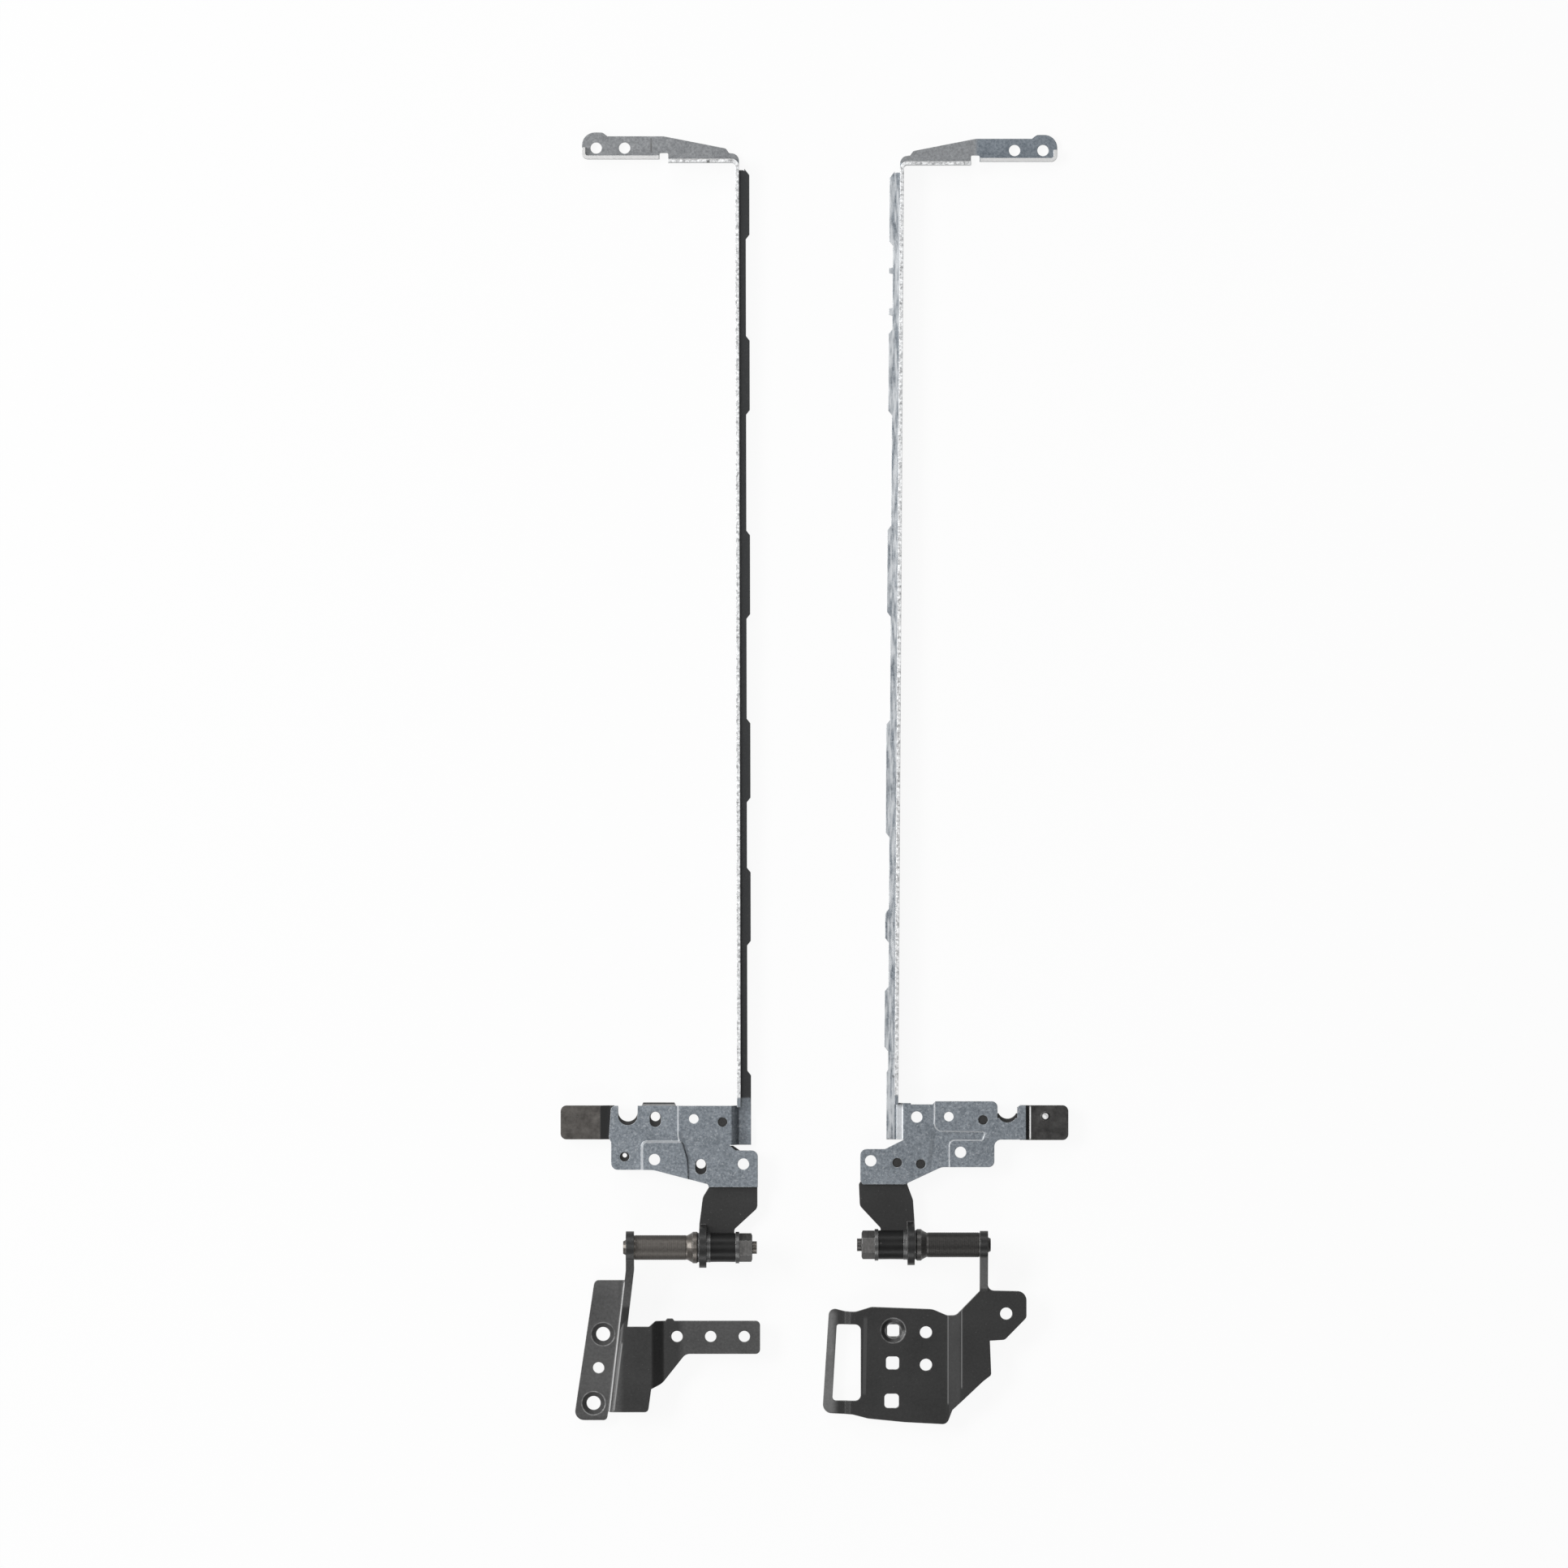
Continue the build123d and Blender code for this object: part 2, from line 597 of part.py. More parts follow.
def pin(hinge):
    """The turned pin: riveted head, barrel, collar, flatted stem and threaded end."""
    with BuildPart() as turned:
        with BuildSketch(pin_plane(hinge)):
            with BuildLine():
                Polyline(
                    (-HEAD_T, 0),
                    (-HEAD_T, HEAD_R - HEAD_T / 2),
                    (0, HEAD_R),
                    (0, EAR_PIN_R),
                    (BARREL_S, EAR_PIN_R),
                    (BARREL_S, BARREL_R),
                    (TAPER_S, BARREL_R),
                    (COLLAR_S, COLLAR_R - COLLAR_EDGE),
                    (COLLAR_S + COLLAR_EDGE, COLLAR_R),
                    (THRUST_S - COLLAR_EDGE, COLLAR_R),
                    (THRUST_S, COLLAR_R - COLLAR_EDGE),
                    (THRUST_S, STEM_R),
                    (NUT_S, STEM_R),
                    (NUT_S, THREAD_R),
                    (THREAD_END_S, THREAD_R),
                    (THREAD_END_S, 0),
                    (-HEAD_T, 0),
                )
            make_face()
        revolve(axis=pin_axis(hinge))
        with BuildSketch(pin_plane(hinge)):
            with Locations(((THRUST_S + NUT_S) / 2, FLAT_HALF + STEM_R)):
                Rectangle(NUT_S - THRUST_S, 2 * STEM_R)
            with Locations(((THRUST_S + NUT_S) / 2, -FLAT_HALF - STEM_R)):
                Rectangle(NUT_S - THRUST_S, 2 * STEM_R)
        extrude(amount=STEM_R, both=True, mode=Mode.SUBTRACT)
    return turned.part


def end_on(hinge, station):
    """The plane square to the pin at a station, facing the nut, with y up."""
    x, y = spot(hinge, hinge.ear_u - station, 0)
    return Plane((x, y, PIN_Z), x_dir=(0, hinge.inboard * -1, 0), z_dir=(-hinge.inboard, 0, 0))


def washer(hinge, station, radius, thickness):
    """A flat washer keyed to the flats of the stem."""
    with BuildPart() as ring:
        with BuildSketch(end_on(hinge, station)):
            Circle(radius)
            with BuildSketch(mode=Mode.PRIVATE) as keyed:
                Circle(STEM_R + FIT)
                Rectangle(2 * radius, 2 * (FLAT_HALF + FIT), mode=Mode.INTERSECT)
            add(keyed.sketch, mode=Mode.SUBTRACT)
        extrude(amount=thickness)
    return ring.part


def key_washer(hinge):
    """The washer that turns with the lid ear, round its bore."""
    with BuildPart() as ring:
        with BuildSketch(end_on(hinge, KEY_S)):
            Circle(WASHER_R)
            Circle(STEM_R + BEARING_GAP, mode=Mode.SUBTRACT)
        extrude(amount=KEY_T)
    return ring.part


def disc_springs(hinge):
    """The pack of conical disc springs, stacked face to face and back to back."""
    with BuildPart() as pack:
        for i in range(DISC_COUNT):
            start = SPRING_S + i * (DISC_T + DISC_RISE)
            near, far = (0, DISC_RISE) if i % 2 else (DISC_RISE, 0)
            thick = DISC_T - DISC_GAP
            with BuildSketch(pin_plane(hinge)):
                with BuildLine():
                    Polyline(
                        (start + near, STEM_R + FIT),
                        (start + far, DISC_R),
                        (start + far + thick, DISC_R),
                        (start + near + thick, STEM_R + FIT),
                        close=True,
                    )
                make_face()
        revolve(axis=pin_axis(hinge))
    return pack.part


def lock_nut(hinge):
    """The hexagon nut, its corners turned off on the outer face."""
    corner = NUT_FLATS / math.sqrt(3)
    with BuildPart() as nut:
        with BuildSketch(pin_plane(hinge)):
            with BuildLine():
                Polyline(
                    (NUT_S, THREAD_R + FIT),
                    (NUT_S, corner),
                    (NUT_S + NUT_T - NUT_CHAMFER, corner),
                    (NUT_S + NUT_T, corner - 2 * NUT_CHAMFER),
                    (NUT_S + NUT_T, THREAD_R + FIT),
                    close=True,
                )
            make_face()
        revolve(axis=pin_axis(hinge))
        with BuildSketch(end_on(hinge, NUT_S)):
            RegularPolygon(NUT_FLATS / 2, 6, major_radius=False)
        extrude(amount=NUT_T, mode=Mode.INTERSECT)
    return nut.part


def wall_u(v):
    """The inboard face of the left base bracket's wall, which slants away below its kink."""
    return LEFT.ear_u + math.tan(math.radians(WALL_SLANT)) * max(WALL_KINK - v, 0)


def lug(hinge, points):
    """The base ear's disc and the lug that carries it, as a side view to extrude."""
    with BuildSketch(beside(hinge, 0)) as side:
        with Locations((0, PIN_Z)):
            Circle(hinge.base_ear_r)
        with BuildLine() as web:
            Polyline(*points, close=True)
        make_face(web.edges())
        with Locations((0, PIN_Z)):
            Circle(EAR_PIN_R + FIT, mode=Mode.SUBTRACT)
    return side.sketch


def left_base():
    """The left base bracket: a low fixing plate, a wall with the ear, and a raised plate and arm."""
    shelf = RAISED_Z + BASE_T
    arm_z = RAISED_Z - ARM_DROP
    shoulder_v, shoulder_z = (share * LEFT.base_ear_r for share in LUG_SHOULDER)
    foot = wall_u(RAISED_LOW)
    with BuildPart() as bracket:
        side = lug(LEFT, [
            (shoulder_v, PIN_Z + shoulder_z),
            (LUG_END, shelf),
            (RAISED_LOW, shelf),
            (RAISED_LOW, 0),
            (FIXING_TOP, 0),
            (shoulder_v, PIN_Z - shoulder_z),
        ])
        extrude(side, amount=-2 * (foot + BASE_T))
        with BuildSketch() as plan:
            outline(LEFT, [
                (LEFT.ear_u, LEFT.base_ear_r, 0),
                (LEFT.ear_u, WALL_KINK, 4),
                (foot, RAISED_LOW, 0),
                (foot - BASE_T, RAISED_LOW, 0),
                (LEFT.ear_u - BASE_T, WALL_KINK, 4),
                (LEFT.ear_u - BASE_T, LEFT.base_ear_r, 0),
            ])
        extrude(amount=PIN_Z + LEFT.base_ear_r, mode=Mode.INTERSECT)
        with BuildSketch(across(LEFT, 0)):
            face([
                (foot, shelf, 0),
                (18.7, shelf, 1.0),
                (16.4, arm_z + BASE_T, 1.0),
                (SCREW_ARM_END, arm_z + BASE_T, 0),
                (SCREW_ARM_END, arm_z, 0),
                (16.0, arm_z, 1.0),
                (18.3, RAISED_Z, 1.0),
                (foot, RAISED_Z, 0),
            ])
        sheet = extrude(amount=up_the_lid(LEFT, 2 * RAISED_LOW), mode=Mode.PRIVATE)
        with BuildSketch(mode=Mode.PRIVATE) as plan:
            outline(LEFT, [
                (wall_u(RAISED_TOP), RAISED_TOP, 0),
                (19.5, RAISED_TOP, 0.5),
                (18.1, SCREW_ARM_TOP, 0.6),
                (15.9, SCREW_ARM_TOP, 0),
                (15.5, SCREW_ARM_TOP + 0.5, 0),
                (14.3, SCREW_ARM_TOP + 0.5, 0),
                (13.9, SCREW_ARM_TOP, 0),
                (SCREW_ARM_END, SCREW_ARM_TOP, 1.0),
                (SCREW_ARM_END, SCREW_ARM_LOW, 1.0),
                (11.4, SCREW_ARM_LOW, 2),
                (16.6, -30.2, 4),
                (19.0, -31.4, 0),
                (19.7, RAISED_LOW, 0.9),
                (foot, RAISED_LOW, 0),
            ])
        add(sheet & extrude(plan.sketch, amount=PIN_Z, mode=Mode.PRIVATE))
        with BuildSketch():
            outline(LEFT, [
                (wall_u(FIXING_TOP) - BASE_T, FIXING_TOP, 0),
                (31.6, FIXING_TOP, 1.1),
                (36.2, FIXING_LOW, 2.0),
                (foot + 0.5, FIXING_LOW, 0.9),
                (foot + 0.2, RAISED_LOW, 0),
                (foot - BASE_T, RAISED_LOW, 0),
            ])
        extrude(amount=BASE_T)
        middle_v = (RAISED_TOP + RAISED_LOW) / 2
        crest = (*spot(LEFT, wall_u(middle_v), middle_v), shelf)
        valley = (*spot(LEFT, wall_u(middle_v), middle_v), BASE_T)
        fillet(bracket.edges().sort_by_distance(crest)[0], BASE_T * 0.8)
        fillet(bracket.edges().sort_by_distance(valley)[0], 0.5)
        for u, v in LEFT_CSK:
            with Locations((*spot(LEFT, u, v), BASE_T)):
                CounterSinkHole(CSK_HOLE_R, CSK_R)
        drill(LEFT, [LEFT_FIXING_HOLE], SCREW_R)
        drill(LEFT, [(SCREW_ARM_U + i * SCREW_PITCH, SCREW_ARM_V) for i in (-1, 0, 1)], SCREW_R)
    return bracket.part


def right_base():
    """The right base bracket: a windowed plate in three levels, with the lug on its top edge."""
    main = MAIN_RISE
    plateau = MAIN_RISE + PLATEAU_RISE
    shoulder_v, shoulder_z = (share * RIGHT.base_ear_r for share in LUG_SHOULDER)
    ear_out = RIGHT.ear_u - BASE_T
    with BuildPart() as bracket:
        with BuildSketch(across(RIGHT, 0)):
            face([
                (-18, 0, 0),
                (-11.9, 0, 1),
                (-10.5, main, 1),
                (11.0, main, 2),
                (14.0, plateau, 2),
                (29, plateau, 0),
                (29, plateau + BASE_T, 0),
                (14.0, plateau + BASE_T, 2),
                (11.0, main + BASE_T, 2),
                (-10.5, main + BASE_T, 1),
                (-11.9, BASE_T, 1),
                (-18, BASE_T, 0),
            ])
        extrude(amount=up_the_lid(RIGHT, 2 * FIXING_LOW))
        with BuildSketch():
            outline(RIGHT, [
                (ear_out, -8.6, 0),
                (RIGHT.ear_u, -8.6, 0),
                (RIGHT.ear_u, -10.2, 1.4),
                (28.4, -10.4, 2.0),
                (28.4, -16.2, 1.2),
                (23.6, -21.1, 1.2),
                (20.3, -21.3, 0),
                (20.6, -28.9, 0.8),
                (18.8, -30.3, 1.5),
                (12.0, BASE_LOW + 2.7, 1.0),
                (10.8, BASE_LOW - 0.5, 1.5),
                (1.4, BASE_LOW, 10),
                (-6.7, BASE_LOW + 0.8, 3),
                (-10.1, BASE_LOW + 1.7, 3),
                (-16.8, BASE_LOW + 2.0, 2.0),
                (-15.3, -14.0, 1.4),
                (-11.8, -14.9, 3),
                (-9.5, -15.0, 3),
                (-5.9, -13.9, 2.5),
                (7.6, -14.4, 4),
                (10.9, -15.8, 1.6),
                (12.8, -15.7, 1.6),
                (ear_out, -10.3, 0),
            ])
            outline(RIGHT, [
                (WINDOW_LEFT + 0.1, WINDOW_TOP, 0.5),
                (WINDOW_RIGHT, WINDOW_TOP, 1.3),
                (WINDOW_RIGHT, WINDOW_LOW, 1.3),
                (WINDOW_LEFT - 0.9, WINDOW_LOW, 0.8),
            ], Mode.SUBTRACT)
        extrude(amount=PIN_Z, mode=Mode.INTERSECT)
        side = lug(RIGHT, [
            (shoulder_v, PIN_Z + shoulder_z),
            (-10.3, plateau + BASE_T),
            (-11.5, plateau + BASE_T),
            (-11.5, plateau),
            (-10.0, plateau),
            (shoulder_v, PIN_Z - shoulder_z),
        ])
        with BuildPart(mode=Mode.PRIVATE) as ear:
            extrude(side, amount=RIGHT.ear_u)
            split(bisect_by=Plane.YZ.offset(spot(RIGHT, ear_out, 0)[0]), keep=Keep.TOP)
        add(ear.part)
        drill(RIGHT, RIGHT_ROUND_HOLES, SCREW_R + 0.1)
        for (u, v), size in RIGHT_SQUARE_HOLES:
            with BuildSketch() as square:
                with Locations(spot(RIGHT, u, v)):
                    RectangleRounded(size, size, size / 4)
            extrude(square.sketch, amount=PIN_Z, mode=Mode.SUBTRACT)
        coined_u, coined_v = RIGHT_SQUARE_HOLES[0][0]
        with BuildSketch(Plane.XY.offset(main + BASE_T)) as ring:
            with Locations(spot(RIGHT, coined_u, coined_v)):
                Circle(COIN_R)
        extrude(ring.sketch, amount=-COIN_DEPTH, taper=60, mode=Mode.SUBTRACT)
    return bracket.part


def write(part, name):
    part.label = name
    export_step(part, f"parts/{name}.step")


def main():
    os.makedirs("parts", exist_ok=True)
    write(left_rail(), "left_display_rail")
    write(right_rail(), "right_display_rail")
    write(left_leaf(), "left_lid_leaf")
    write(right_leaf(), "right_lid_leaf")
    write(left_base(), "left_base_bracket")
    write(right_base(), "right_base_bracket")
    for hinge in (LEFT, RIGHT):
        write(pin(hinge), f"{hinge.name}_pin")
        write(washer(hinge, THRUST_S, COLLAR_R - COLLAR_EDGE, THRUST_T), f"{hinge.name}_thrust_washer")
        write(key_washer(hinge), f"{hinge.name}_key_washer")
        write(washer(hinge, FRICTION_S, WASHER_R, FRICTION_T), f"{hinge.name}_friction_washer")
        write(disc_springs(hinge), f"{hinge.name}_disc_springs")
        write(washer(hinge, END_WASHER_S, END_WASHER_R, END_WASHER_T), f"{hinge.name}_end_washer")
        write(lock_nut(hinge), f"{hinge.name}_lock_nut")


main()
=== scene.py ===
# %% [markdown]
# # A pair of laptop hinges
# Two friction hinges lie flat on a white table, as spare parts are photographed for sale.
# The sheets, pins, washers and nuts come ready from the CAD model. This lesson gives them their
# finishes, turns the few shapes that are too fine for CAD, and sets up the light and camera.

# %% Start from the CAD model
import math

import bpy
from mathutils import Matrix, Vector


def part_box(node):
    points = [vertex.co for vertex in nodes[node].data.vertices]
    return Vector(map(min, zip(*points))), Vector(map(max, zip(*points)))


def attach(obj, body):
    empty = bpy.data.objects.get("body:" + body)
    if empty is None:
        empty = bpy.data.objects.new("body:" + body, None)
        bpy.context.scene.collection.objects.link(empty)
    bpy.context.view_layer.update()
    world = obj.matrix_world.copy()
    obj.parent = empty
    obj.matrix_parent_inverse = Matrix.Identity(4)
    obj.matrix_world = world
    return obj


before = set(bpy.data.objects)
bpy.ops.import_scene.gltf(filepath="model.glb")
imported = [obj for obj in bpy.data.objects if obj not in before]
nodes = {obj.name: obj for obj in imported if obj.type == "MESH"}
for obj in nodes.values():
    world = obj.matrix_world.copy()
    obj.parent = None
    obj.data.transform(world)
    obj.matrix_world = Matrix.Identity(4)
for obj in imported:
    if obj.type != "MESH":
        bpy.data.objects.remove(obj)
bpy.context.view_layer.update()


# %% [markdown]
# ## Shader maths in Python
# A finish is a small formula: where the speckle is, how worn an edge is, how rough the coat is there.
# Wiring that by hand takes dozens of nodes, so one small class wraps a socket and lets Python's own
# operators add the Math nodes. `mask * 0.5 + 0.2` then reads as it would on paper. Steps are soft, so
# that no line in a finish is sharper than the picture can show.

# %% Sockets that can be added and multiplied
class Value:
    """A socket of a material's node tree. Sums and products of values add Math nodes."""

    def __init__(self, tree, socket):
        self.tree = tree
        self.socket = socket

    def math(self, operation, *others, clamp=False):
        node = self.tree.nodes.new("ShaderNodeMath")
        node.operation = operation
        node.use_clamp = clamp
        for slot, value in zip(node.inputs, (self, *others)):
            feed(self.tree, slot, value)
        return Value(self.tree, node.outputs[0])

    def __add__(self, other):
        return self.math("ADD", other)

    def __radd__(self, other):
        return self.math("ADD", other)

    def __sub__(self, other):
        return self.math("SUBTRACT", other)

    def __rsub__(self, other):
        return self.math("MULTIPLY_ADD", -1.0, other)

    def __mul__(self, other):
        return self.math("MULTIPLY", other)

    def over(self, edge, soft):
        """0 below the edge and 1 above it, with a soft step."""
        return ((self - edge) * (1 / soft)).math("ADD", 0.5, clamp=True)

    def under(self, edge, soft):
        """1 below the edge and 0 above it, with a soft step."""
        return ((self - edge) * (-1 / soft)).math("ADD", 0.5, clamp=True)

    def between(self, low, high, soft):
        """1 between two edges and 0 outside them."""
        return self.over(low, soft) * self.under(high, soft)


def feed(tree, slot, value):
    """Links a value to a socket, or sets the socket to a plain number or colour."""
    if isinstance(value, Value):
        tree.links.new(value.socket, slot)
    else:
        slot.default_value = value


# %% [markdown]
# A finish also needs textures and mixes. They all come from one method that takes the node's type, its
# settings and what goes into its sockets, so that each finish below stays a short recipe. Patterns
# follow the Object coordinates, which stay with the piece when a joint turns it.

# %% One method for every other node
BEVEL_SAMPLES = 6


class Finish:
    """A material being mixed, with its shader ready."""

    def __init__(self, name):
        self.material = bpy.data.materials.new(name)
        self.material.use_nodes = True
        self.tree = self.material.node_tree
        self.shader = self.tree.nodes["Principled BSDF"]
        self.place = self.node("TexCoord")["Object"]

    def node(self, kind, settings=None, **sockets):
        node = self.tree.nodes.new("ShaderNode" + kind)
        for name, value in (settings or {}).items():
            setattr(node, name, value)
        for name, value in sockets.items():
            feed(self.tree, node.inputs[name.replace("_", " ")], value)
        return {out.name: Value(self.tree, out) for out in node.outputs}

    def axes(self):
        """The place on the piece in millimetres, as its three coordinates."""
        parts = self.node("SeparateXYZ", Vector=self.place)
        return [parts[letter] * 1000 for letter in "XYZ"]

    def noise(self, size_mm, detail=2.0, rough=0.5, stretch=(1, 1, 1)):
        """Noise whose patches are about this size, from 0 to 1."""
        scale = tuple(s * 1000 / size_mm for s in stretch)
        place = self.node("Mapping", Vector=self.place, Scale=scale)["Vector"]
        return self.node("TexNoise", Vector=place, Scale=1.0, Detail=detail, Roughness=rough)["Fac"]

    def mix(self, share, low, high):
        """A colour between two, by share."""
        node = self.tree.nodes.new("ShaderNodeMix")
        node.data_type = "RGBA"
        feed(self.tree, node.inputs[0], share)
        feed(self.tree, node.inputs[6], low)
        feed(self.tree, node.inputs[7], high)
        return Value(self.tree, node.outputs[2])

    def rounded(self, radius_mm):
        """The normal as it would be if edges were rounded by this radius."""
        return self.node("Bevel", {"samples": BEVEL_SAMPLES}, Radius=radius_mm / 1000)["Normal"]

    def wear(self, radius_mm, sharp):
        """1 on outer edges and 0 on flat sheet, from a rounded normal held against the true one."""
        true = self.node("NewGeometry")["Normal"]
        along = self.node("VectorMath", {"operation": "DOT_PRODUCT"})["Value"]
        inputs = along.socket.node.inputs
        feed(self.tree, inputs[0], self.rounded(radius_mm))
        feed(self.tree, inputs[1], true)
        return ((1 - along) * sharp).math("MINIMUM", 1.0)

    def slope(self):
        """1 on pressed slopes that face the lamp or either end of the rail, and 0 on flat sheet."""
        normal = self.node("SeparateXYZ", Vector=self.node("TexCoord")["Normal"])
        return normal["Z"].between(0.3, 0.93, 0.05) * normal["X"].under(0.25, 0.1)

    def bump(self, height, depth_mm, edge_mm=0.0):
        """Lets a pattern stand up by this much, over edges rounded by this radius."""
        sockets = {"Height": height, "Distance": depth_mm / 1000, "Strength": 1.0}
        if edge_mm:
            sockets["Normal"] = self.rounded(edge_mm)
        self.set(Normal=self.node("Bump", **sockets)["Normal"])

    def set(self, **sockets):
        for name, value in sockets.items():
            feed(self.tree, self.shader.inputs[name.replace("_", " ")], value)
        return self.material


# %% [markdown]
# Some marks have a place of their own: a painted highlight along a fold, a painted highlight on the rim
# of a countersink, an area painted paler. They are drawn as lines, rings and boxes, in millimetres on the
# piece.

# %% Lines, rings, boxes and grey levels
LINE_EDGE = 0.14
LINE_END = 0.6


def crease(x, y, start, end, width):
    """1 along a straight line between two places that differ in y."""
    (x0, y0), (x1, y1) = start, end
    aside = (x - x0 - (y - y0) * ((x1 - x0) / (y1 - y0))).math("ABSOLUTE")
    return aside.under(width / 2, LINE_EDGE) * y.between(min(y0, y1), max(y0, y1), LINE_END)


def ring(x, y, centre, radius, width):
    """1 on a circle round a place, or on a filled dot when its radius is nought."""
    off_x, off_y = x - centre[0], y - centre[1]
    away = (off_x * off_x + off_y * off_y).math("SQRT")
    return (away - radius).math("ABSOLUTE").under(width / 2, LINE_EDGE)


def box(x, y, across, along, soft, soft_along=None):
    """1 in an upright box, from its two limits across and along."""
    return x.between(*across, soft) * y.between(*along, soft_along or soft)


def grey(level, warm=0.0):
    """A colour from its grey level as a screen shows it, 0 to 255, tinted warm or cool."""
    def linear(x):
        x = max(x, 0) / 255
        return x / 12.92 if x <= 0.04045 else ((x + 0.055) / 1.055) ** 2.4
    return (linear(level + warm), linear(level), linear(level - warm), 1.0)


def dress(node, material):
    """Gives a CAD piece its finish."""
    nodes[node].data.materials.clear()
    nodes[node].data.materials.append(material)


print("the maths is ready, a middle grey is", [round(part, 3) for part in grey(128)[:3]])


# %% [markdown]
# ## Galvanised sheet
# The rails are zinc-coated steel. Seen close, the coat is a fine even speckle, a little blue, with soft
# larger clouds from handling. The cut edges of the sheet, the arm's lip and the plate's pressed slopes
# get painted highlights, and the flange in the lee of the left rail's wall gets a painted shadow, nearly
# black.

# %% Where each rail and its forms lie, in millimetres
RAILS = {
    "left": {"inboard": -1, "x": -17.15, "foot": -72.85, "top": 136.45, "lean": 0.4},
    "right": {"inboard": 1, "x": 18.55, "foot": -72.25, "top": 135.9, "lean": 1.25},
}
WALL = 0.8
FLANGE_TOP = 1.3
FLANGE_BELOW_FOOT = 8
LIP_FROM = 17
LIP_TOP = 1.4


def inboard_of_rail(rail, x, y):
    """How far a place lies inboard of the rail's inner face, which leans a little."""
    lean = (y - rail["foot"]) * (rail["lean"] / (rail["top"] - rail["foot"]))
    return (x - rail["x"]) * rail["inboard"] - lean


def rail_forms(rail, x, y, z):
    """Where the rail, its wall's cut edge, its flange, its top arm and the arm's lip are."""
    u = inboard_of_rail(rail, x, y)
    beside_wall = y.over(rail["foot"] + 2, 0.4)
    arm = y.over(rail["top"] + 0.6, 0.3)
    return {
        "u": u,
        "rail": beside_wall,
        "cut_edge": z.over(FLANGE_TOP, 0.2) * beside_wall,
        "flange": u.under(-WALL, 0.1) * y.over(rail["foot"] - FLANGE_BELOW_FOOT, 0.2),
        "arm": arm,
        "lip": arm * u.over(LIP_FROM, 0.2) * z.over(LIP_TOP, 0.2),
        "plate": y.under(rail["foot"] + 2, 0.4),
    }


# %% [markdown]
# The two hinges were handled differently. The left one's flange gets a painted shadow from its wall,
# nearly black, and its arm has a dash of pen and a dark spot. The right one's flange is streaked along
# its length and spotted near the foot, and its arm is darker at the outer end. Both plates have a faint
# shaded fold.

# %% Marks of each rail
PEN_DASH = ((-36.35, -36.05), (138.7, 141.9))
DARK_SPOT = ((-23.9, -23.2), (136.1, 136.9))
LEFT_FOLD = ((-29.9, -78.4), (-27.6, -85.0), 1.1)
RIGHT_FOLD = ((26.4, -78.0), (25.4, -86.0), 1.0)
SPOTTED_UP_TO = -50
OUTER_ARM_FROM = 16.4
INNER_ARM_UP_TO = 16.0


def left_marks(finish, colour, x, y, forms, grain, share, level):
    # Painted shadow of the wall on the left rail's flange, nearly black.
    wall_shadow = forms["flange"] * forms["rail"] * 0.92
    colour = finish.mix(wall_shadow, colour, finish.mix(grain, grey(30), grey(42)))
    warmer = finish.mix(share, grey(level - 12, 1), grey(level + 20, 2))
    colour = finish.mix(forms["arm"] * 0.5, colour, warmer)
    ink = finish.noise(0.5, detail=2.0).over(0.42, 0.2)
    pen = box(x, y, *PEN_DASH, 0.25, 0.5) * forms["arm"] * ink
    colour = finish.mix(pen * 0.75, colour, grey(62, 2))
    colour = finish.mix(crease(x, y, *LEFT_FOLD) * 0.4, colour, grey(66, -6))
    return finish.mix(box(x, y, *DARK_SPOT, 0.3) * 0.8, colour, grey(40))


def right_marks(finish, colour, x, y, forms, grain, share):
    streak = finish.noise(0.5, detail=2.0, stretch=(1, 0.12, 1)).over(0.5, 0.3)
    colour = finish.mix(forms["flange"] * streak * 0.7, colour, grey(186, -2))
    spots = finish.noise(1.6, detail=1.0).over(0.7, 0.06) * forms["flange"] * y.under(SPOTTED_UP_TO, 8)
    colour = finish.mix(spots * 0.6, colour, grey(70, -1))
    colour = finish.mix(crease(x, y, *RIGHT_FOLD) * 0.3, colour, grey(72, -4))
    outer = forms["arm"] * forms["u"].over(OUTER_ARM_FROM, 0.6)
    colour = finish.mix(outer * 0.8, colour, finish.mix(share, grey(80, -8), grey(116, -7)))
    inner = forms["arm"] * forms["u"].under(INNER_ARM_UP_TO, 0.6)
    return finish.mix(inner * 0.6, colour, finish.mix(grain.over(0.5, 0.5), grey(102), grey(138)))


# %% Galvanised finish
def galvanised(side, level, cool):
    finish = Finish(f"{side}_galvanised")
    x, y, z = finish.axes()
    forms = rail_forms(RAILS[side], x, y, z)
    grain = finish.noise(0.5, detail=2.0, rough=0.7)
    cloud = finish.noise(7.0)
    share = (grain * 2.6 + cloud * 0.6).math("ADD", -1.1, clamp=True)
    colour = finish.mix(share, grey(level - 20, -cool), grey(level + 20, -cool))
    fleck = finish.noise(0.6, detail=1.0).over(0.66, 0.1)
    colour = finish.mix(fleck * 0.3, colour, grey(level + 62, -cool * 0.5))
    patchiness = finish.noise(0.7, detail=2.0, rough=0.7)
    # Painted highlight on the wall's cut edge, in patches.
    cut_edge_highlight = finish.mix(patchiness.over(0.48, 0.35), grey(122, -1), grey(214, -1))
    colour = finish.mix(forms["cut_edge"], colour, cut_edge_highlight)
    if side == "left":
        colour = left_marks(finish, colour, x, y, forms, grain, share, level)
    else:
        colour = right_marks(finish, colour, x, y, forms, grain, share)
    # Painted highlight on the arm's lip.
    colour = finish.mix(forms["lip"], colour, grey(176))
    rubbed_edge = finish.wear(0.14, 7.0) * patchiness.over(0.36, 0.2)
    colour = finish.mix(rubbed_edge * 0.5, colour, grey(196, -1))
    # Painted highlight on the plate's pressed slopes that face the lamp or the rail's ends.
    colour = finish.mix(finish.slope() * forms["plate"] * 0.45, colour, grey(226, -1))
    finish.bump(grain, 0.010, 0.16)
    return finish.set(Base_Color=colour, Metallic=0.55, Roughness=0.36 + grain * 0.22)


